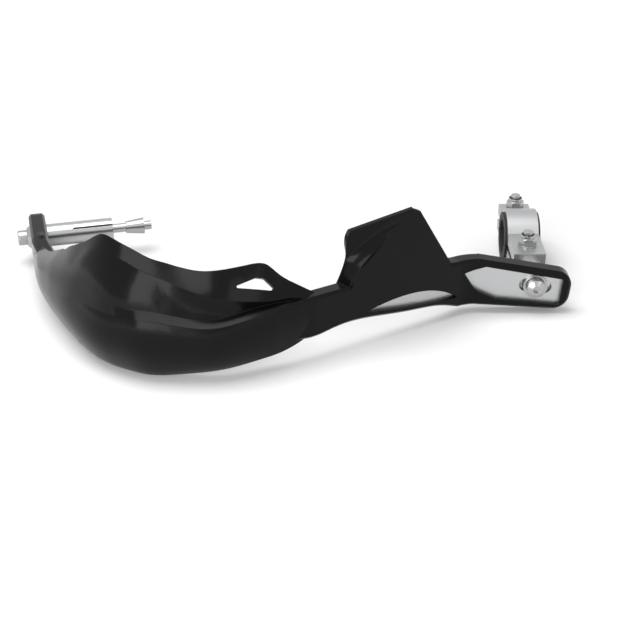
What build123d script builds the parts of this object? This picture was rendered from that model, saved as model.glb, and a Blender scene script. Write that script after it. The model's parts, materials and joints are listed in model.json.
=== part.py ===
from build123d import *
import math
import os
from typing import NamedTuple

# Right-hand motorcycle hand guard, put together with its bar clamp and bar-end expander bolt.
# X runs along the handlebar towards the middle of the bike, Y towards the rider, Z up.
# The origin is on the handlebar's axis, in the middle of the clamp. Lengths are millimetres.

# Handlebar and mounting
bar_diameter = 22.2
mount_spacing = 318.0  # middle of the clamp to the hole in the bar-end tab
post_reach = 67.5  # bar axis to the end of the clamp's post, where the core bar seats

# Flat aluminium core and the plastic around it
core_thickness = 5.0
core_height = 21.0
side_cover = 2.75  # plastic on each broad side of the core
edge_cover = 2.75  # plastic above and below the core
band_bevel = 1.6  # bevel along the plastic's long edges
fit_gap = 0.05  # clearance where one piece sits around another

# Slotted end that takes the clamp's screw
slot_length = 20.0
slot_width = 8.4
paddle_drop = 6.6  # slope of the slotted end, down towards the middle of the bike, degrees
paddle_end = 21.3  # slot's middle to the rounded end
paddle_taper = 0.0545  # how fast each edge of the slotted end closes in, per unit length
paddle_shift = 0.7  # how far the slotted end's outline lies below the slot's middle
paddle_corner = 9.5
paddle_proud = 0.15  # the slotted end's plastic stands this far above the bend's
window_end = 16.0  # slot's middle to the window's end
window_tip = 45.2  # slot's middle to the window's pointed end
window_height = 17.6
window_corner = 1.5
window_sweep = 14.0  # rounding of the window's lower edge as it runs up to the point
seat_length = 36.0  # opening behind the slot where the clamp's post seats
seat_height = 17.0
bend_corner = 41.8  # slot's middle to the corner where the arm bends forward
bend_radius = 20.0

# Hand shield, from the bar-end tab to where the arm meets it
shield_length = 184.0  # along the bar
shield_depth = 162.0  # forward of the bar
shield_height = 58.0  # above the bar
shell_wall = 3.0
shield_foot = 5.0  # how far the shield reaches into the arm
notch_depth = 134.0  # how far forward of the bar the arm meets the shield
notch_bottom = -1.8
notch_top = 24.0

# Large fin on the arm, measured from the bend
fin_wall = 3.0
fin_foot = 84.5  # low end of the fin's fold
fin_fold = 28.8  # height of the low end of the fold
fin_tip = 43.3  # high end of the fold
fin_height = 62.7
fin_crown = 5.0  # width of the blunt tip
fin_heel = 13.1  # low corner of the flat facet
fin_set_back = 10.0  # how far the folded-back edge lies behind the arm's face
fin_hole_corner = 0.8  # rounding of the hole in the shield's small fin

# Bar-end strap
strap_lean = 14.5  # how far it opens outwards, degrees
strap_end = 18.0  # hole to the rounded end
strap_start = 30.0  # hole to where it leaves the shield
seat_diameter = 23.0  # recess for the cup washer
tab_window_length = 30.0
tab_window_height = 19.0

# Bar clamp
clamp_width = 20.0
liner_wall = 3.2
liner_gap = 1.0
liner_flange_thickness = 1.4
liner_flange_height = 1.8
jaw_wall = 4.0
jaw_gap = 4.0
ear_thickness = 7.0
front_bolt_offset = 33.0
rear_bolt_offset = 26.0
ear_margin = 7.0  # bolt's axis to the end of its ear
shoulder_gap = 1.5
shoulder_diameter = 18.0
shoulder_length = 5.0
post_diameter = 15.0

# M6 fasteners
screw_diameter = 6.0
hole_clearance = 0.6
thread_clearance = 0.3
hex_across_flats = 10.0
hex_chamfer = 0.8
bolt_head_height = 4.0
nut_height = 4.4
nut_collar_height = 2.0
nut_collar_diameter = 9.0
nylon_diameter = 8.0
nylon_height = 1.5
washer_thickness = 1.2
washer_diameter = 12.0
bolt_tip = 2.0
guard_washer_diameter = 15.0
guard_head_diameter = 11.5
guard_head_height = 3.6
guard_socket = 4.0
spring_washer_thickness = 1.6
spring_washer_diameter = 10.5
spring_washer_split = 1.0
guard_screw_grip = 14.0  # length of screw inside the post

# Bar-end expander bolt
socket_head_diameter = 10.0
socket_head_height = 6.0
socket_across_flats = 5.0
socket_depth = 3.0
cup_diameter = 21.0
cup_small_diameter = 12.0
cup_thickness = 5.0
collar_diameter = 16.6
collar_thickness = 3.0
sleeve_diameter = 15.0
sleeve_bore = 9.0
sleeve_length = 43.0
slit_width = 1.2
slit_length = 26.0
cone_gap = 9.0  # bare screw between the sleeve and the cone
cone_large_diameter = 11.0
cone_small_diameter = 8.0
cone_length = 12.0
screw_tip = 5.0

UP = Vector(0, 0, 1)
from_left = (Align.MIN, Align.CENTER, Align.CENTER)
from_below = (Align.CENTER, Align.CENTER, Align.MIN)
band_thickness = core_thickness + 2 * side_cover
band_height = core_height + 2 * edge_cover
paddle_front = -(post_reach + core_thickness + side_cover)
core_front = -(post_reach + core_thickness)
screw_hole = screw_diameter + hole_clearance
thread_hole = screw_diameter + thread_clearance

# The arm runs straight from the bend's corner to the notch.
notch_x = shield_length - mount_spacing
arm_run = Vector(notch_x + bend_corner, -notch_depth - paddle_front, 0)
arm_length = arm_run.length
arm_way = arm_run.normalized()
arm_turn = math.degrees(math.atan2(-arm_run.Y, -arm_run.X))
bend_tangent = bend_radius * math.tan(math.radians(arm_turn / 2))
bend_start = -(bend_corner - bend_tangent)


class Station(NamedTuple):
    """One upright section of the hand shield, as drawn.

    along is the distance from the bar-end tab along X, ahead the distance forward of the bar, and
    turn the direction of the outward side, in degrees from -Y towards -X. bow is how far the
    panel above the ledge bows out. The pairs are (outward offset, height) on the outer face.
    """

    along: float
    ahead: float
    turn: float
    bow: float
    lip: tuple
    belly: tuple
    ridge: tuple
    ledge: tuple
    crease: tuple
    top: tuple


neck = Station(
    171, 142, -29, 0,
    (-3, -5.4), (0, 8), (-0.8, 20.8), (-5.5, 23.4), (-4.5, 25.7), (-10.5, 36),
)
small_fin = Station(
    159, 149.5, -24, 0,
    (-5, -8.4), (0, 5), (-0.8, 21.4), (-7, 24), (-4.8, 27.2), (-13, 47.2),
)
waist = Station(
    124, 162, -8, -1.2,
    (-9, -13.4), (0, 1.5), (-1.2, 18.2), (-6.8, 20.8), (-8, 35.5), (-20, 44.5),
)
front = Station(
    90, 160, 16, 0.8,
    (-10, -16.9), (0, 0.5), (-1.5, 21.6), (-6.5, 25.4), (-13, 45), (-22, 49.5),
)
ledge_start = Station(
    68.3, 150.5, 32.3, 1.7,
    (-9.4, -16.9), (0, 0.5), (-2.9, 20.8), (-4, 25.9), (-14.9, 49.7), (-21.2, 55.2),
)
peak = Station(
    53, 138, 44, 2,
    (-8.5, -16.8), (0, 0.5), (-3.6, 20), (-4.9, 26), (-15.5, 51.5), (-20, 58),
)
flank = Station(
    30, 104, 62, 1,
    (-6.5, -14.6), (0, -0.5), (-0.4, 13), (-1.2, 18), (-8, 32.5), (-12.5, 38.5),
)
root = Station(
    12, 66, 70, 0.2,
    (-4.5, -11.8), (0, -2.5), (-0.2, 7.5), (-0.8, 11.5), (-4.2, 16.5), (-8.6, 20.5),
)
run_out = Station(
    0.4, 22.6, 75.5, 0.1,
    (-1.6, -10.5), (-0.5, -4), (-0.5, 1), (-0.8, 4), (-2.2, 6.5), (-4.8, 8.5),
)
drawn_stations = [neck, small_fin, waist, front, ledge_start, peak, flank, root, run_out]
# The stations are drawn for a shield this long, deep and high, on a band of this section.
drawn_length = 184
drawn_depth = waist.ahead
drawn_height = peak.top[1]
drawn_notch_depth = 134
drawn_band_thickness = 10.5
drawn_band_height = 26.5
deep = shield_depth / drawn_depth
high = shield_height / drawn_height


def fitted_place(along, ahead):
    """A drawn place in plan at the shield's named length and depth, following the notch near it."""
    shift = notch_depth - drawn_notch_depth * deep
    return along * shield_length / drawn_length, ahead * deep + shift * (along / drawn_length) ** 2


def fitted(station):
    """A drawn station brought to the shield's named length, depth and height."""
    place = fitted_place(station.along, station.ahead)
    pairs = [(offset * deep, height * high) for offset, height in station[4:]]
    return Station(*place, station.turn, station.bow * deep, *pairs)


def foot():
    """First station of the shield, sunk into the end of the arm."""
    along = shield_length - shield_foot * arm_way.X
    ahead = notch_depth + shield_foot * arm_way.Y
    offsets = (-2.5, -1.2, -1.6, -3, -3.6, -5.2)
    heights = (0.1, 0.42, 0.73, 0.78, 0.85, 0.93)
    thick = band_thickness / drawn_band_thickness
    pairs = [(offset * thick, share * notch_top) for offset, share in zip(offsets, heights)]
    return Station(along, ahead, -arm_turn, 0, *pairs)


def slope_at(before, after):
    """Slope of a smooth curve at a point, level where the curve turns back."""
    if before * after <= 0:
        return 0
    return 2 * before * after / (before + after)


def blended(rows, steps):
    """Rows of numbers with in-between rows added, every column following a smooth curve.

    The first two columns are the place in plan, which sets the spacing.
    """
    gaps = [math.hypot(b[0] - a[0], b[1] - a[1]) for a, b in zip(rows, rows[1:])]
    last = len(gaps)
    curves = []
    for column in zip(*rows):
        rates = [(b - a) / gap for a, b, gap in zip(column, column[1:], gaps)]
        slopes = [rates[0]]
        slopes += [slope_at(rates[i - 1], rates[i]) for i in range(1, last)]
        slopes += [rates[-1]]
        values = []
        for i in range(last):
            for step in range(steps):
                f = step / steps
                start = (1 + 2 * f) * (1 - f) ** 2 * column[i] + f * (1 - f) ** 2 * gaps[i] * slopes[i]
                end = f * f * (3 - 2 * f) * column[i + 1] + f * f * (f - 1) * gaps[i] * slopes[i + 1]
                values.append(start + end)
        values.append(column[-1])
        curves.append(values)
    return list(zip(*curves))


def outward(turn):
    """Level unit vector of a station's outward side."""
    angle = math.radians(turn)
    return Vector(-math.sin(angle), -math.cos(angle), 0)


def upright_plane(origin, turn):
    """Upright plane whose x is the outward offset and whose y is the height."""
    side = outward(turn)
    return Plane(origin=origin, x_dir=side, z_dir=side.cross(UP))


def station_plane(station):
    return upright_plane((station.along - mount_spacing, -station.ahead, 0), station.turn)


# Slotted end: x along it, y up, z towards the front, from the middle of the slot at the core's front.
drop = math.radians(paddle_drop)
paddle_way = Vector(math.cos(drop), 0, -math.sin(drop))
paddle_plane = Plane(origin=(0, core_front, 0), x_dir=paddle_way, z_dir=(0, -1, 0))
# Arm: x from the bend's corner towards the shield, y up, z back from its front face.
arm_plane = Plane(origin=(-bend_corner, paddle_front, 0), x_dir=arm_run, z_dir=-outward(-arm_turn))
# Strap: x from the hole towards the shield, y up, z outwards from the middle of the core.
strap_out = outward(90 - strap_lean)
strap_plane = Plane(origin=(-mount_spacing, 0, 0), x_dir=UP.cross(strap_out), z_dir=strap_out)


def inward(start, end):
    """Unit normal of an outer edge that runs upwards, pointing into the wall."""
    run = Vector(end[0] - start[0], end[1] - start[1]).normalized()
    return Vector(-run.Y, run.X)


def moved(point, direction, distance):
    return (point[0] + direction.X * distance, point[1] + direction.Y * distance)


def shield_section(s):
    """Closed thin-walled section of the shield at one station."""
    panel_normal = inward(s.ledge, s.crease)
    flare_normal = inward(s.crease, s.top)
    panel_middle = ((s.ledge[0] + s.crease[0]) / 2, (s.ledge[1] + s.crease[1]) / 2)
    panel_middle = moved(panel_middle, panel_normal, -s.bow)
    top_in = moved(s.top, flare_normal, shell_wall)
    crease_in = moved(s.crease, (panel_normal + flare_normal).normalized(), shell_wall)
    ledge_in = (s.ledge[0] - shell_wall, s.ledge[1] - shell_wall)
    panel_in = ((ledge_in[0] + crease_in[0]) / 2, (ledge_in[1] + crease_in[1]) / 2)
    panel_in = moved(panel_in, panel_normal, -s.bow)
    ridge_in = (s.ridge[0] - shell_wall, s.ridge[1] - shell_wall)
    belly_in = (s.belly[0] - shell_wall, s.belly[1])
    lip_in = moved(s.lip, inward(s.lip, s.belly), shell_wall)
    edges = [
        Spline(s.lip, s.belly, s.ridge),
        Line(s.ridge, s.ledge),
        Spline(s.ledge, panel_middle, s.crease),
        Line(s.crease, s.top),
        Line(s.top, top_in),
        Line(top_in, crease_in),
        Spline(crease_in, panel_in, ledge_in),
        Line(ledge_in, ridge_in),
        Spline(ridge_in, belly_in, lip_in),
        Line(lip_in, s.lip),
    ]
    return station_plane(s) * Face(Wire([edge.edge() for edge in edges]))


def outline(points):
    """Flat face with straight sides through the given points."""
    return Face(Wire(Polyline(*points, close=True).edges()))


def bar_section(plane, outer, bottom, top, side_inset, edge_inset, bevel):
    """Section of the flat bar on an upright plane; outer is the band's outer face."""
    width = band_thickness - 2 * side_inset
    height = top - bottom - 2 * edge_inset
    middle = (outer - band_thickness / 2, (bottom + top) / 2)
    if bevel:
        shape = chamfer(Rectangle(width, height).vertices(), bevel)
    else:
        shape = Rectangle(width, height)
    return (plane * Pos(*middle) * shape).face()


def long_edges(plate, plane, length):
    """Edges around a plate's two broad faces, without those on its joint at x = length."""
    broad = plate.faces().filter_by(Plane(origin=(0, 0, 0), z_dir=plane.z_dir))
    edges = ShapeList()
    for face in broad:
        for edge in face.edges():
            if abs(plane.to_local_coords(edge.center()).X - length) > 0.5:
                edges.append(edge)
    return edges


def paddle_edges(distance, inset):
    """Bottom and top of the slotted end at a distance from the slot's middle."""
    half = band_height / 2 - paddle_taper * distance - inset
    return -paddle_shift - half, half - paddle_shift


def bend_edges():
    """Bottom and top of the bar where the bend begins."""
    rise = -bend_start * math.tan(drop)
    bottom, top = paddle_edges(bend_start / math.cos(drop), 0)
    return rise + bottom / math.cos(drop), rise + top / math.cos(drop)


def slotted_end(side_inset, edge_inset, bevel):
    """Straight, sloping end of the bar, cut upright where the bend begins."""
    reach = 2 * bend_corner
    if bevel:
        side_inset -= paddle_proud
        edge_inset -= paddle_proud
    right = paddle_end - edge_inset
    far_bottom, far_top = paddle_edges(-reach, edge_inset)
    bottom, top = paddle_edges(right, edge_inset)
    shape = outline([(-reach, far_bottom), (right, bottom), (right, top), (-reach, far_top)])
    corners = shape.vertices().group_by(Axis.X)[-1]
    shape = fillet(corners, paddle_corner - edge_inset)
    depth = band_thickness - 2 * side_inset
    back = Pos(0, 0, side_cover - side_inset - depth)
    plate = extrude(paddle_plane * back * shape, depth, paddle_plane.z_dir)
    room = Box(4 * reach, 4 * band_thickness, 4 * band_height, align=from_left)
    plate &= Pos(bend_start, core_front, 0) * room
    if bevel:
        edges = ShapeList()
        for face in plate.faces().filter_by(Axis.Y):
            edges += [edge for edge in face.edges() if edge.center().X > bend_start + 0.5]
        plate = chamfer(edges, bevel)
    return plate


def bend(side_inset, edge_inset, bevel):
    """Upright bend between the slotted end and the arm."""
    plane = upright_plane((bend_start, paddle_front, 0), 0)
    section = bar_section(plane, 0, *bend_edges(), side_inset, edge_inset, bevel)
    centre = Axis((bend_start, paddle_front - bend_radius, 0), (0, 0, 1))
    return revolve(section, centre, arm_turn)


def arm(side_inset, edge_inset, bevel):
    """Straight arm with an arched lower edge."""
    places = [(bend_tangent, *bend_edges())]
    for share, bottom, top in ((0.18, -0.275, 0.755), (0.46, -0.13, 0.85), (0.78, 0.025, 0.895)):
        places.append((share * arm_length, bottom * band_height, top * band_height))
    places.append((arm_length, notch_bottom, notch_top))
    rows = []
    for distance, bottom, top in places:
        point = arm_plane.from_local_coords(Vector(distance, 0, 0))
        rows.append((point.X, point.Y, bottom, top))
    sections = []
    for x, y, bottom, top in blended(rows, 2):
        plane = upright_plane((x, y, 0), -arm_turn)
        sections.append(bar_section(plane, 0, bottom, top, side_inset, edge_inset, bevel))
    return loft(sections)


def rib(side_inset, edge_inset, bevel):
    """Curved run of the bar behind the shield."""
    # Drawn station, then the band's outer face, bottom and top there, all as drawn.
    places = [
        (neck, -2, -2.2, 22.5),
        (small_fin, -4.5, -5, 22.3),
        (waist, -6, -9, 18.4),
        (front, -6, -11.5, 15.5),
        (peak, -5.5, -11.5, 14),
        (flank, -5, -10.8, 13),
        (root, -3.8, -9.8, 12.4),
    ]
    tall = band_height / drawn_band_height
    rows = [(notch_x, -notch_depth, -arm_turn, 0, notch_bottom, notch_top)]
    for station, outer, bottom, top in places:
        along, ahead = fitted_place(station.along, station.ahead)
        x = along - mount_spacing
        rows.append((x, -ahead, station.turn, outer * deep, bottom * tall, top * tall))
    start = strap_plane.from_local_coords(Vector(strap_start, 0, band_thickness / 2))
    rows.append((start.X, start.Y, 90 - strap_lean, 0, -band_height / 2, band_height / 2))
    sections = []
    for x, y, turn, outer, bottom, top in blended(rows, 2):
        plane = upright_plane((x, y, 0), turn)
        sections.append(bar_section(plane, outer, bottom, top, side_inset, edge_inset, bevel))
    return loft(sections)


def shield():
    """Curved hand shield, open at the back."""
    rows = []
    for station in [foot()] + [fitted(station) for station in drawn_stations]:
        numbers = list(station[:4])
        for pair in station[4:]:
            numbers += pair
        rows.append(numbers)
    sections = []
    for row in blended(rows, 3):
        pairs = list(zip(row[4::2], row[5::2]))
        sections.append(shield_section(Station(*row[:4], *pairs)))
    return loft(sections)


def strap(side_inset, edge_inset, bevel):
    """Straight bar-end strap with a round end."""
    height = band_height - 2 * edge_inset
    middle = strap_end - band_height / 2
    shape = Pos((strap_start - middle) / 2, 0) * Rectangle(strap_start + middle, height)
    shape += Pos(-middle, 0) * Circle(height / 2)
    depth = band_thickness - 2 * side_inset
    plate = extrude(strap_plane * Pos(0, 0, -depth / 2) * shape, depth, strap_plane.z_dir)
    if bevel:
        plate = chamfer(long_edges(plate, strap_plane, strap_start), bevel)
    return plate


def flat_bar(side_inset, edge_inset, bevel):
    """The whole bar from the slotted end to the bar-end strap."""
    inset = (side_inset, edge_inset, bevel)
    return slotted_end(*inset) + bend(*inset) + arm(*inset) + rib(*inset) + strap(*inset)


def large_fin():
    """Fin on the arm: a flat facet in the arm's face, and one folded back from it."""
    crown = (fin_tip - fin_crown, fin_height - 0.5 * fin_crown)
    heel = (fin_heel, 0.8 * notch_top)
    foot_points = [(fin_heel, 0.2 * notch_top), (fin_foot, 0.5 * notch_top)]
    facet = outline([(fin_foot, fin_fold), (fin_tip, fin_height), crown, heel] + foot_points)
    flat = extrude(arm_plane * facet, fin_wall, arm_plane.z_dir)
    # Folded facet: pairs of points on the fold and on the free edge, from the foot up.
    back = fin_set_back
    middle = (0.5 * (fin_foot + fin_tip), 0.5 * (fin_fold + fin_height), 0)
    pairs = [
        ((fin_foot + 2, 0.75 * notch_top, 0.1 * back), (fin_foot + 8, 0.73 * notch_top, back)),
        ((fin_foot, fin_fold, 0), (fin_foot + 1.5, 0.48 * fin_height, back)),
        (middle, (fin_foot - 0.8, 0.67 * fin_height, 0.9 * back)),
        ((fin_tip, fin_height, 0), (fin_foot - 2.5, 0.877 * fin_height, 0.75 * back)),
    ]
    sections = []
    for near, far in pairs:
        near = arm_plane.from_local_coords(Vector(*near))
        far = arm_plane.from_local_coords(Vector(*far))
        along = far - near
        through = arm_plane.z_dir - along * (arm_plane.z_dir.dot(along) / along.dot(along))
        through = through.normalized() * fin_wall
        sections.append(outline([near, far, far + through, near + through]))
    return flat + loft(sections)


def fin_hole():
    """Wedge-shaped hole with a blunt top through the shield's small fin."""
    ends = []
    for along, ahead, height in ((139.5, 149.4, 39.4), (154.8, 141.1, 41.4), (163.8, 143, 34.2)):
        along, ahead = fitted_place(along, ahead)
        ends.append(Vector(along - mount_spacing, -ahead, height * high))
    base = ends[2] - ends[0]
    plane = Plane(origin=ends[0], x_dir=base, z_dir=base.cross(ends[1] - ends[0]))
    shares = ((-0.03, -0.03), (0.5, 0.215), (0.68, 0.21), (0.94, 0.03), (0.85, -0.03))
    points = [(along * base.length, up * base.length) for along, up in shares]
    shape = fillet(outline(points).vertices(), fin_hole_corner)
    return extrude(plane * shape, 3 * shell_wall, both=True)


def paddle_window():
    """Opening in the front plastic that shows the core around the slot."""
    half = window_height / 2
    points = [
        (-window_tip, 0.58 * half),
        (-0.72 * window_tip, 1.2 * half),
        (0.97 * window_end, 0.84 * half),
        (window_end, -1.16 * half),
        (-0.5 * window_tip, -1.2 * half),
        (-0.81 * window_tip, -0.68 * half),
    ]
    shape = outline(points)
    sweep = shape.vertices().sort_by_distance(points[-1])[0]
    shape = fillet(sweep, window_sweep)
    shape = fillet(shape.vertices().group_by(Axis.X)[-1], window_corner)
    return extrude(paddle_plane * shape, 4 * side_cover, paddle_plane.z_dir)


def arm_window():
    """Thin curved opening in the arm's front plastic."""
    upper = [(0.07, -0.2), (0.238, 0.25), (0.512, 0.36), (0.7, 0.2)]
    lower = [upper[-1], (0.494, 0.03), (0.284, -0.13), upper[0]]
    curves = []
    for shares in (upper, lower):
        points = [(along * arm_length, height * core_height) for along, height in shares]
        curves.append(Spline(*points).edge())
    ahead = 2 * side_cover
    face = arm_plane * Pos(0, 0, -ahead) * Face(Wire(curves))
    return extrude(face, ahead + side_cover, arm_plane.z_dir)


def guard_shell():
    """All the black plastic, with the space for the core cut out."""
    body = flat_bar(0, 0, band_bevel) + shield() + large_fin()
    body -= flat_bar(side_cover - fit_gap, edge_cover - fit_gap, 0)
    body -= fin_hole()
    body -= paddle_window()
    body -= arm_window()
    behind = paddle_plane * Pos(0, 0, -core_thickness)
    body -= extrude(behind * SlotOverall(seat_length, seat_height), -4 * side_cover)
    outside = strap_plane * Pos(0, 0, core_thickness / 2)
    body -= extrude(outside * Circle(seat_diameter / 2), 4 * side_cover)
    inside = strap_plane * Pos((tab_window_length - tab_window_height) / 2, 0, -core_thickness / 2)
    body -= extrude(inside * SlotOverall(tab_window_length, tab_window_height), -4 * side_cover)
    return body


def core_bar():
    """Aluminium core with the slot and the bar-end hole."""
    core = flat_bar(side_cover, edge_cover, 0)
    core -= extrude(paddle_plane * SlotOverall(slot_length, slot_width), 2 * core_thickness, both=True)
    core -= extrude(strap_plane * Circle(screw_hole / 2), 2 * core_thickness, both=True)
    return core


def rod(diameter, start, end):
    """Round bar along Z between two heights."""
    return Pos(0, 0, start) * Cylinder(diameter / 2, end - start, align=from_below)


def tube(outer, inner, start, end):
    return rod(outer, start, end) - rod(inner, start, end)


def hexagon(across_flats, start, end):
    """Hexagonal bar along Z between two heights."""
    return Pos(0, 0, start) * extrude(RegularPolygon(across_flats / 2, 6, major_radius=False), end - start)


def hexagon_head(start, end, outer_end):
    """Hexagonal head or nut with its corners turned off at the outer end, 0 for the low one or -1."""
    blank = rod(hex_across_flats / math.cos(math.pi / 6), start, end)
    rim = blank.edges().filter_by(GeomType.CIRCLE).group_by(Axis.Z)[outer_end]
    return hexagon(hex_across_flats, start, end) & chamfer(rim, 0.5 * hex_chamfer, hex_chamfer)


jaw_inner = bar_diameter / 2 + liner_wall
jaw_outer = jaw_inner + jaw_wall
front_ear_end = -(front_bolt_offset + ear_margin)
rear_ear_end = rear_bolt_offset + ear_margin
ear_top = jaw_gap / 2 + ear_thickness
bar_plane = Plane(origin=(0, 0, 0), x_dir=(0, 1, 0), z_dir=(1, 0, 0))
post_plane = Plane(origin=(0, 0, 0), x_dir=(1, 0, 0), z_dir=(0, -1, 0))


def jaw(front_end):
    """Upper clamp jaw: half ring with an ear each side, drilled for the bolts."""
    half = clamp_width / 2
    ring = bar_plane * rod(2 * jaw_outer, -half, half)
    length = rear_ear_end - front_end
    ears = Box(clamp_width, length, ear_thickness, align=(Align.CENTER, Align.MIN, Align.MIN))
    block = ring + Pos(0, front_end, jaw_gap / 2) * ears
    block &= Pos(0, 0, jaw_gap / 2) * Box(2 * clamp_width, 2 * length, 2 * jaw_outer, align=from_below)
    block -= bar_plane * rod(2 * jaw_inner, -half, half)
    for y in (-front_bolt_offset, rear_bolt_offset):
        block -= Pos(0, y, 0) * rod(screw_hole, 0, ear_top)
    return block


def clamp_body():
    """Upper jaw with the post that carries the guard."""
    shoulder = -front_ear_end + shoulder_gap
    body = jaw(-(shoulder + shoulder_length))
    body += post_plane * rod(shoulder_diameter, shoulder, shoulder + shoulder_length)
    body += post_plane * rod(post_diameter, shoulder, post_reach)
    body -= post_plane * rod(thread_hole, post_reach - guard_screw_grip - 2, post_reach)
    return body


def clamp_cap():
    return mirror(jaw(front_ear_end), Plane.XY)


def liner():
    """Upper half of the rubber liner between the bar and the jaws."""
    half = clamp_width / 2 + fit_gap
    flange = half + liner_flange_thickness
    shell = rod(2 * (jaw_inner - fit_gap), -half, half)
    for start, end in ((-flange, -half), (half, flange)):
        shell += rod(2 * (jaw_inner + liner_flange_height), start, end)
    shell -= rod(bar_diameter, -flange, flange)
    upper = Box(4 * flange, 4 * jaw_outer, 2 * jaw_outer, align=from_below)
    return bar_plane * shell & Pos(0, 0, liner_gap / 2) * upper


nut_start = ear_top + washer_thickness
nut_end = nut_start + nut_height + nut_collar_height


def clamp_bolt():
    """Hexagon bolt pointing up, its head under the cap's ear."""
    head_top = -(ear_top + washer_thickness)
    head = hexagon_head(head_top - bolt_head_height, head_top, 0)
    return head + rod(screw_diameter, head_top, nut_end + bolt_tip)


def lock_nut():
    nut = hexagon_head(nut_start, nut_start + nut_height, -1)
    nut += rod(nut_collar_diameter, nut_start + nut_height, nut_end)
    nut -= rod(thread_hole, nut_start, nut_end)
    return nut - rod(nylon_diameter, nut_end - nylon_height, nut_end)


def nylon_ring():
    return tube(nylon_diameter - 2 * fit_gap, thread_hole, nut_end - nylon_height, nut_end)


def bolt_washer(bottom):
    return tube(washer_diameter, screw_hole, bottom, bottom + washer_thickness)


core_face = post_reach + core_thickness
spring_start = core_face + washer_thickness
guard_head_start = spring_start + spring_washer_thickness


def guard_screw():
    """Button-head screw that holds the slotted end to the clamp's post."""
    end = guard_head_start + guard_head_height
    head = rod(guard_head_diameter, guard_head_start, end)
    head = chamfer(head.edges().group_by(Axis.Z)[-1], 0.4 * guard_head_height, 0.25 * guard_head_diameter)
    head -= hexagon(guard_socket, end - 0.6 * guard_head_height, end)
    return post_plane * (head + rod(screw_diameter, post_reach - guard_screw_grip, guard_head_start))


def spring_washer():
    ring = tube(spring_washer_diameter, screw_hole, spring_start, guard_head_start)
    split = Box(spring_washer_diameter, spring_washer_split, 4 * spring_washer_thickness, align=from_left)
    return post_plane * (ring - Pos(0, 0, spring_start) * split)


def guard_washer():
    return post_plane * tube(guard_washer_diameter, screw_hole, core_face, spring_start)


# The bar-end bolt's pieces stack along the strap's axis, outwards from the middle of the core.
tab_face = core_thickness / 2
collar_end = -(tab_face + collar_thickness)
sleeve_end = collar_end - sleeve_length
cone_start = sleeve_end - cone_gap
cone_end = cone_start - cone_length


def bar_end_screw():
    """Long socket-head screw through the tab, the sleeve and the cone."""
    head_start = tab_face + cup_thickness
    head_end = head_start + socket_head_height
    head = rod(socket_head_diameter, head_start, head_end)
    head = chamfer(head.edges().group_by(Axis.Z)[-1], 0.6)
    head -= hexagon(socket_across_flats, head_end - socket_depth, head_end)
    return strap_plane * (head + rod(screw_diameter, cone_end - screw_tip, head_start))


def bar_end_cup():
    """Conical washer under the bar-end screw's head."""
    cone = Cone(cup_diameter / 2, cup_small_diameter / 2, cup_thickness, align=from_below)
    return strap_plane * (Pos(0, 0, tab_face) * cone - rod(screw_hole, tab_face, tab_face + cup_thickness))


def bar_end_collar():
    return strap_plane * tube(collar_diameter, screw_hole, collar_end, -tab_face)


def expander_sleeve():
    """Slit sleeve that the cone spreads inside the handlebar."""
    sleeve = tube(sleeve_diameter, sleeve_bore, sleeve_end, collar_end)
    slit = Box(2 * sleeve_diameter, slit_width, slit_length, align=from_below)
    for turn in (45, 135):
        sleeve -= Pos(0, 0, sleeve_end) * Rot(0, 0, turn) * slit
    return strap_plane * sleeve


def expander_cone():
    large = cone_large_diameter / 2
    small = cone_small_diameter / 2
    cone = Pos(0, 0, cone_end) * Cone(large, small, cone_length, align=from_below)
    return strap_plane * (cone - rod(thread_hole, cone_end, cone_start))


front_bolt = Pos(0, -front_bolt_offset, 0)
rear_bolt = Pos(0, rear_bolt_offset, 0)

nodes = {
    "guard_shell": guard_shell(),
    "core_bar": core_bar(),
    "clamp_body": clamp_body(),
    "clamp_cap": clamp_cap(),
    "liner_upper": liner(),
    "liner_lower": mirror(liner(), Plane.XY),
    "clamp_bolt_front": front_bolt * clamp_bolt(),
    "clamp_bolt_rear": rear_bolt * clamp_bolt(),
    "head_washer_front": front_bolt * bolt_washer(-nut_start),
    "head_washer_rear": rear_bolt * bolt_washer(-nut_start),
    "nut_washer_front": front_bolt * bolt_washer(ear_top),
    "nut_washer_rear": rear_bolt * bolt_washer(ear_top),
    "lock_nut_front": front_bolt * lock_nut(),
    "lock_nut_rear": rear_bolt * lock_nut(),
    "nylon_ring_front": front_bolt * nylon_ring(),
    "nylon_ring_rear": rear_bolt * nylon_ring(),
    "guard_screw": guard_screw(),
    "spring_washer": spring_washer(),
    "guard_washer": guard_washer(),
    "bar_end_screw": bar_end_screw(),
    "bar_end_cup": bar_end_cup(),
    "bar_end_collar": bar_end_collar(),
    "expander_sleeve": expander_sleeve(),
    "expander_cone": expander_cone(),
}

os.makedirs("parts", exist_ok=True)
for name, solid in nodes.items():
    export_step(solid, os.path.join("parts", name + ".step"))
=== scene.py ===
import json
import math
from typing import NamedTuple

import bpy
import numpy
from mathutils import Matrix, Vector
from mathutils.kdtree import KDTree


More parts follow.
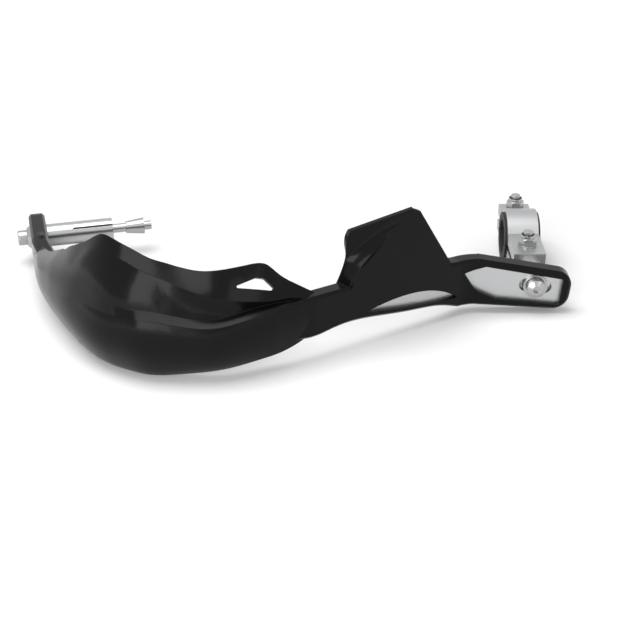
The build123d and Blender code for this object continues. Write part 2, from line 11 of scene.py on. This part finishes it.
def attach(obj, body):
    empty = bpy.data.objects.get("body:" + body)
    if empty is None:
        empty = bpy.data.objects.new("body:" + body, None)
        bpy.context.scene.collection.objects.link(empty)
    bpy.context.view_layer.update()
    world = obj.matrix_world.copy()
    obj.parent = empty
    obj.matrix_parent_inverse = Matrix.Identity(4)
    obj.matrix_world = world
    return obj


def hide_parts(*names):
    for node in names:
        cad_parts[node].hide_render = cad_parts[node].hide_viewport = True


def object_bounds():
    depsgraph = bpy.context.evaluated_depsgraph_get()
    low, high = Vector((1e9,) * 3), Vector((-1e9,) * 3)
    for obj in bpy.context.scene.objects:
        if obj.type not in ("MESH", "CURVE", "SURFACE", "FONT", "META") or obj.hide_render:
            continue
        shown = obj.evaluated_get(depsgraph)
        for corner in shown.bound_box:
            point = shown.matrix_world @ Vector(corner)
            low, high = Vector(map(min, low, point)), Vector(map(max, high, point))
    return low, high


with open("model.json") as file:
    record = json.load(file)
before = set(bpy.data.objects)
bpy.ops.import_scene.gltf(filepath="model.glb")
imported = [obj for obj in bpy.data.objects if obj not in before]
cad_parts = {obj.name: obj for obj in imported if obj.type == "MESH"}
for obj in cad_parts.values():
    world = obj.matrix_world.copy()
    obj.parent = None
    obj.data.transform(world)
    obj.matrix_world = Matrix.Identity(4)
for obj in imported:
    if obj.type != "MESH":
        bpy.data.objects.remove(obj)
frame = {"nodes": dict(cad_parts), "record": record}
cad_box = [list(corner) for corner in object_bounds()]

# Lengths and places are metres in the row frame: X along the handlebar, Y towards the rider, Z up.
# A distance ahead is measured forward from the handlebar's axis, along -Y.

# Camera and floor
camera_target = Vector((-0.1318, -0.0657, -0.0135))
camera_distance = 0.7981
camera_elevation = math.radians(27.6)
camera_lens = 72.2  # millimetres
camera_shift = -0.031  # share of the picture's width
floor_height = cad_box[0][2]
floor_size = 6.0

# Upper edge of the shield's side, which sweeps from the top of the strap up to the peak
strap_top = 0.01325  # height where the sweep starts
peak_height = 0.058  # height where it ends
side_limit = -0.24  # the side lies beyond this, along X
side_start = 0.02  # distance ahead where the side begins
sweep_start = 0.04  # distance ahead where the edge begins to rise
sweep_end = 0.1236  # distance ahead of the peak
sweep_power = 1.55  # how late the edge rises
sweep_fade = 0.014  # stretch before the peak where the solid's own edge takes over again
edge_step = 0.004  # spacing at which the solid's own edge is read
edge_touch = 0.00002  # smallest height that counts
left_over = 0.02  # share of each wave that stays, so that no face closes up

# Evening out of the normals on the shield's side
even_start = 0.05  # distance ahead where it begins
even_reach = 0.012  # how far around a point it looks
even_fade = 0.02  # width of the border over which it fades in
same_face = 0.9  # cosine of the angle within which two normals belong to one face

# Colours, linear
pure_white = (1, 1, 1, 1)
plastic_black = (0.003, 0.003, 0.0031, 1)
rubber_black = (0.012, 0.012, 0.012, 1)
core_silver = (0.47, 0.475, 0.48, 1)
clamp_silver = (0.42, 0.425, 0.43, 1)
sleeve_silver = (0.44, 0.445, 0.45, 1)
zinc_silver = (0.4, 0.4, 0.395, 1)
floor_white = (0.85, 0.85, 0.85, 1)

# Gloss
plastic_roughness = 0.17
plastic_specular = 0.12
rubber_roughness = 0.75
core_roughness = 0.36
clamp_roughness = 0.42
sleeve_roughness = 0.26
zinc_roughness = 0.26
floor_roughness = 0.8


class Grain(NamedTuple):
    """Fine relief of a surface."""
    scale: float  # how fine it is
    strength: float
    depth: float
    edge: float  # radius by which sharp edges look rounded


plastic_grain = Grain(scale=900, strength=0.05, depth=0.0004, edge=0.0008)
rubber_grain = Grain(scale=1400, strength=0.1, depth=0.0003, edge=0.0003)
metal_grain = Grain(scale=1500, strength=0.12, depth=0.0002, edge=0.0004)
grain_detail = 4.0

# How fast a grain changes along X, Y and Z
plain_grain = (1, 1, 1)
brushed_level = (0.04, 0.04, 1)
turned_round = (1, 0.08, 0.08)

# Light
world_light = 0.5
floor_far_lift = 1.0  # the backdrop's white, which the floor reaches far out
lift_start = 0.3  # distance from the floor's middle where it begins to turn that white
lift_end = 0.9  # distance where it has turned that white


class SoftBox(NamedTuple):
    """Area lamp that faces the camera's target."""
    name: str
    place: tuple  # from the camera's target
    width: float
    height: float
    power: float  # watts


soft_boxes = [
    SoftBox("overhead", place=(-0.35, -0.05, 1.2), width=1.0, height=1.0, power=13),
    SoftBox("front_left", place=(-0.6, -1.15, 0.42), width=0.75, height=0.9, power=11),
    SoftBox("front_right", place=(0.9, -1.0, 0.9), width=0.8, height=0.8, power=3),
]


def new_material(name, colour, roughness, metallic=0.0):
    """Makes a material with one principled shader; returns the material and the shader."""
    made = bpy.data.materials.new(name)
    made.use_nodes = True
    surface = made.node_tree.nodes["Principled BSDF"]
    surface.inputs["Base Color"].default_value = colour
    surface.inputs["Roughness"].default_value = roughness
    surface.inputs["Metallic"].default_value = metallic
    return made, surface


def add_grain(made, surface, grain, stretch=plain_grain):
    """Gives a surface a fine relief, from noise in the row frame, and softens its sharp edges."""
    tree = made.node_tree
    place = tree.nodes.new("ShaderNodeTexCoord")
    mapping = tree.nodes.new("ShaderNodeMapping")
    mapping.inputs["Scale"].default_value = stretch
    noise = tree.nodes.new("ShaderNodeTexNoise")
    noise.inputs["Scale"].default_value = grain.scale
    noise.inputs["Detail"].default_value = grain_detail
    rounded = tree.nodes.new("ShaderNodeBevel")
    rounded.inputs["Radius"].default_value = grain.edge
    bump = tree.nodes.new("ShaderNodeBump")
    bump.inputs["Strength"].default_value = grain.strength
    bump.inputs["Distance"].default_value = grain.depth
    tree.links.new(place.outputs["Object"], mapping.inputs["Vector"])
    tree.links.new(mapping.outputs["Vector"], noise.inputs["Vector"])
    tree.links.new(noise.outputs["Fac"], bump.inputs["Height"])
    tree.links.new(rounded.outputs["Normal"], bump.inputs["Normal"])
    tree.links.new(bump.outputs["Normal"], surface.inputs["Normal"])


def moulded_plastic():
    """Black plastic with a soft gloss."""
    made, surface = new_material("moulded_plastic", plastic_black, plastic_roughness)
    surface.inputs["Specular IOR Level"].default_value = plastic_specular
    add_grain(made, surface, plastic_grain)
    return made


def soft_rubber():
    """Matt black rubber."""
    made, surface = new_material("soft_rubber", rubber_black, rubber_roughness)
    add_grain(made, surface, rubber_grain)
    return made


def worked_metal(name, colour, roughness, stretch=plain_grain):
    """Bare metal with the marks of its working."""
    made, surface = new_material(name, colour, roughness, metallic=1.0)
    add_grain(made, surface, metal_grain, stretch)
    return made


def finish_nodes():
    """Gives each node of the frame the finish of its material slot."""
    rubber = soft_rubber()
    finishes = {
        "black_plastic": moulded_plastic(),
        "core_aluminium": worked_metal("brushed_core", core_silver, core_roughness, brushed_level),
        "clamp_aluminium": worked_metal("cast_clamp", clamp_silver, clamp_roughness),
        "turned_aluminium": worked_metal("turned_sleeve", sleeve_silver, sleeve_roughness, turned_round),
        "zinc_steel": worked_metal("bright_zinc", zinc_silver, zinc_roughness),
        "liner_rubber": rubber,
        "black_nylon": rubber,
    }
    for subpart in frame["record"]["subparts"]:
        node = frame["nodes"][subpart["node"]]
        node.data.materials.clear()
        node.data.materials.append(finishes[subpart["material_slot"]])


def sweep_height(ahead):
    """Height of the swept edge at a distance ahead."""
    share = min(max((ahead - sweep_start) / (sweep_end - sweep_start), 0), 1)
    return strap_top + (peak_height - strap_top) * share ** sweep_power


def on_side(point):
    """Whether a point is on the shield's side, above the strap's top."""
    return point.x < side_limit and side_start < -point.y < sweep_end and point.z > strap_top


def upper_edge(points):
    """The solid's own upper edge, as distances ahead and heights above the sweep."""
    highest = {}
    for point in points:
        ahead = -point.y
        rise = point.z - sweep_height(ahead)
        step = round(ahead / edge_step)
        if step not in highest or rise > highest[step][1]:
            highest[step] = (ahead, rise)
    pairs = [highest[step] for step in sorted(highest)]
    return list(zip(*pairs))


def settled(edge, point):
    """Height of a point once the upper edge follows the sweep; heights below move in proportion."""
    ahead = -point.y
    rise = float(numpy.interp(ahead, *edge))
    reach = max(sweep_height(ahead) + rise - strap_top, edge_touch)
    share = min(max((point.z - strap_top) / reach, 0), 1)
    fade = min((sweep_end - ahead) / sweep_fade, 1)
    return point.z - rise * share * fade * (1 - left_over)


def settled_normal(edge, point, normal):
    """Surface normal at a point once it has settled."""
    rearward = Vector((0, edge_step, 0))
    upward = Vector((0, 0, edge_touch))
    slope = (settled(edge, point + rearward) - settled(edge, point - rearward)) / (2 * edge_step)
    growth = (settled(edge, point + upward) - settled(edge, point - upward)) / (2 * edge_touch)
    return Vector((normal.x * growth, normal.y * growth - normal.z * slope, normal.z)).normalized()


def evenness(point):
    """How far a point's normal is evened out: fully on the shield's side, fading to its borders."""
    ahead = -point.y
    inside = min(side_limit - point.x, ahead - even_start, sweep_end - ahead)
    return min(max(inside / even_fade, 0), 1)


def evened(mesh, places, normals):
    """Normals with the small waves of the shield's side averaged out over the same face."""
    tree = KDTree(len(normals))
    for index, loop in enumerate(mesh.loops):
        tree.insert(places[loop.vertex_index], index)
    tree.balance()
    areas = [0.0] * len(normals)
    for polygon in mesh.polygons:
        for index in polygon.loop_indices:
            areas[index] = polygon.area
    result = []
    for index, normal in enumerate(normals):
        place = places[mesh.loops[index].vertex_index]
        share = evenness(place)
        if share > 0:
            total = Vector()
            for _, other, distance in tree.find_range(place, even_reach):
                if normals[other].dot(normal) > same_face:
                    total += normals[other] * areas[other] * (1 - distance / even_reach)
            normal = normal.lerp(total.normalized(), share).normalized()
        result.append(normal)
    return result


def moulded_shell():
    """The plastic shell, with its shield's side brought down to the strap in one clean sweep."""
    mesh = frame["nodes"]["guard_shell"].data.copy()
    mesh.name = "moulded_shell"
    places = [vertex.co.copy() for vertex in mesh.vertices]
    edge = upper_edge([place for place in places if on_side(place)])
    normals = []
    for loop, normal in zip(mesh.loops, mesh.corner_normals):
        place = places[loop.vertex_index]
        if on_side(place):
            normals.append(settled_normal(edge, place, normal.vector))
        else:
            normals.append(normal.vector.copy())
    for vertex, place in zip(mesh.vertices, places):
        if on_side(place):
            vertex.co.z = settled(edge, place)
    mesh.normals_split_custom_set(evened(mesh, places, normals))
    shell = bpy.data.objects.new("moulded_shell", mesh)
    bpy.context.collection.objects.link(shell)
    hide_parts("guard_shell")
    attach(shell, "root")


def seen_directly(tree):
    """Socket that is 1 for what the camera, a reflection or a clear body sees, and 0 for lighting."""
    path = tree.nodes.new("ShaderNodeLightPath")
    socket = path.outputs["Is Camera Ray"]
    for name in ("Is Glossy Ray", "Is Transmission Ray"):
        either = tree.nodes.new("ShaderNodeMath")
        either.operation = "MAXIMUM"
        tree.links.new(socket, either.inputs[0])
        tree.links.new(path.outputs[name], either.inputs[1])
        socket = either.outputs[0]
    return socket


def add_world():
    """Even studio light, with a plain white backdrop to look at."""
    world = bpy.data.worlds.new("studio")
    world.use_nodes = True
    bpy.context.scene.world = world
    tree = world.node_tree
    light = tree.nodes["Background"]
    light.inputs["Color"].default_value = pure_white
    light.inputs["Strength"].default_value = world_light
    backdrop = tree.nodes.new("ShaderNodeBackground")
    backdrop.inputs["Color"].default_value = pure_white
    backdrop.inputs["Strength"].default_value = 1
    mix = tree.nodes.new("ShaderNodeMixShader")
    tree.links.new(seen_directly(tree), mix.inputs["Fac"])
    tree.links.new(light.outputs["Background"], mix.inputs[1])
    tree.links.new(backdrop.outputs["Background"], mix.inputs[2])
    tree.links.new(mix.outputs["Shader"], tree.nodes["World Output"].inputs["Surface"])


def white_floor():
    """Matt white that keeps the object's shadow and, further out, turns into the white backdrop."""
    made, surface = new_material("white_floor", floor_white, floor_roughness)
    surface.inputs["Emission Color"].default_value = pure_white
    tree = made.node_tree
    place = tree.nodes.new("ShaderNodeTexCoord")
    distance = tree.nodes.new("ShaderNodeVectorMath")
    distance.operation = "LENGTH"
    fade = tree.nodes.new("ShaderNodeMapRange")
    fade.inputs["From Min"].default_value = lift_start
    fade.inputs["From Max"].default_value = lift_end
    fade.inputs["To Max"].default_value = floor_far_lift
    lift = tree.nodes.new("ShaderNodeMath")
    lift.operation = "MULTIPLY"
    tree.links.new(place.outputs["Object"], distance.inputs[0])
    tree.links.new(distance.outputs["Value"], fade.inputs["Value"])
    tree.links.new(seen_directly(tree), lift.inputs[0])
    tree.links.new(fade.outputs["Result"], lift.inputs[1])
    tree.links.new(lift.outputs[0], surface.inputs["Emission Strength"])
    return made


def add_floor():
    """Floor that touches the object's lowest point."""
    place = (camera_target.x, camera_target.y, floor_height)
    bpy.ops.mesh.primitive_plane_add(size=floor_size, location=place)
    floor = bpy.context.object
    floor.name = "floor"
    floor.data.materials.append(white_floor())


def add_soft_box(box):
    """Adds one lamp, turned to the camera's target."""
    data = bpy.data.lights.new(box.name, "AREA")
    data.shape = "RECTANGLE"
    data.size = box.width
    data.size_y = box.height
    data.energy = box.power
    lamp = bpy.data.objects.new(box.name, data)
    lamp.location = camera_target + Vector(box.place)
    lamp.rotation_euler = (-Vector(box.place)).to_track_quat("-Z", "Y").to_euler()
    bpy.context.collection.objects.link(lamp)


def add_camera():
    """Camera in front of the object, looking towards the rider and a little down."""
    data = bpy.data.cameras.new("camera")
    data.lens = camera_lens
    data.shift_y = camera_shift
    camera = bpy.data.objects.new("camera", data)
    level = camera_distance * math.cos(camera_elevation)
    height = camera_distance * math.sin(camera_elevation)
    camera.location = camera_target + Vector((0, -level, height))
    camera.rotation_euler = (math.pi / 2 - camera_elevation, 0, 0)
    bpy.context.collection.objects.link(camera)
    bpy.context.scene.camera = camera


finish_nodes()
moulded_shell()
bpy.context.scene.view_settings.view_transform = "Standard"
add_world()
add_floor()
for soft_box in soft_boxes:
    add_soft_box(soft_box)
add_camera()
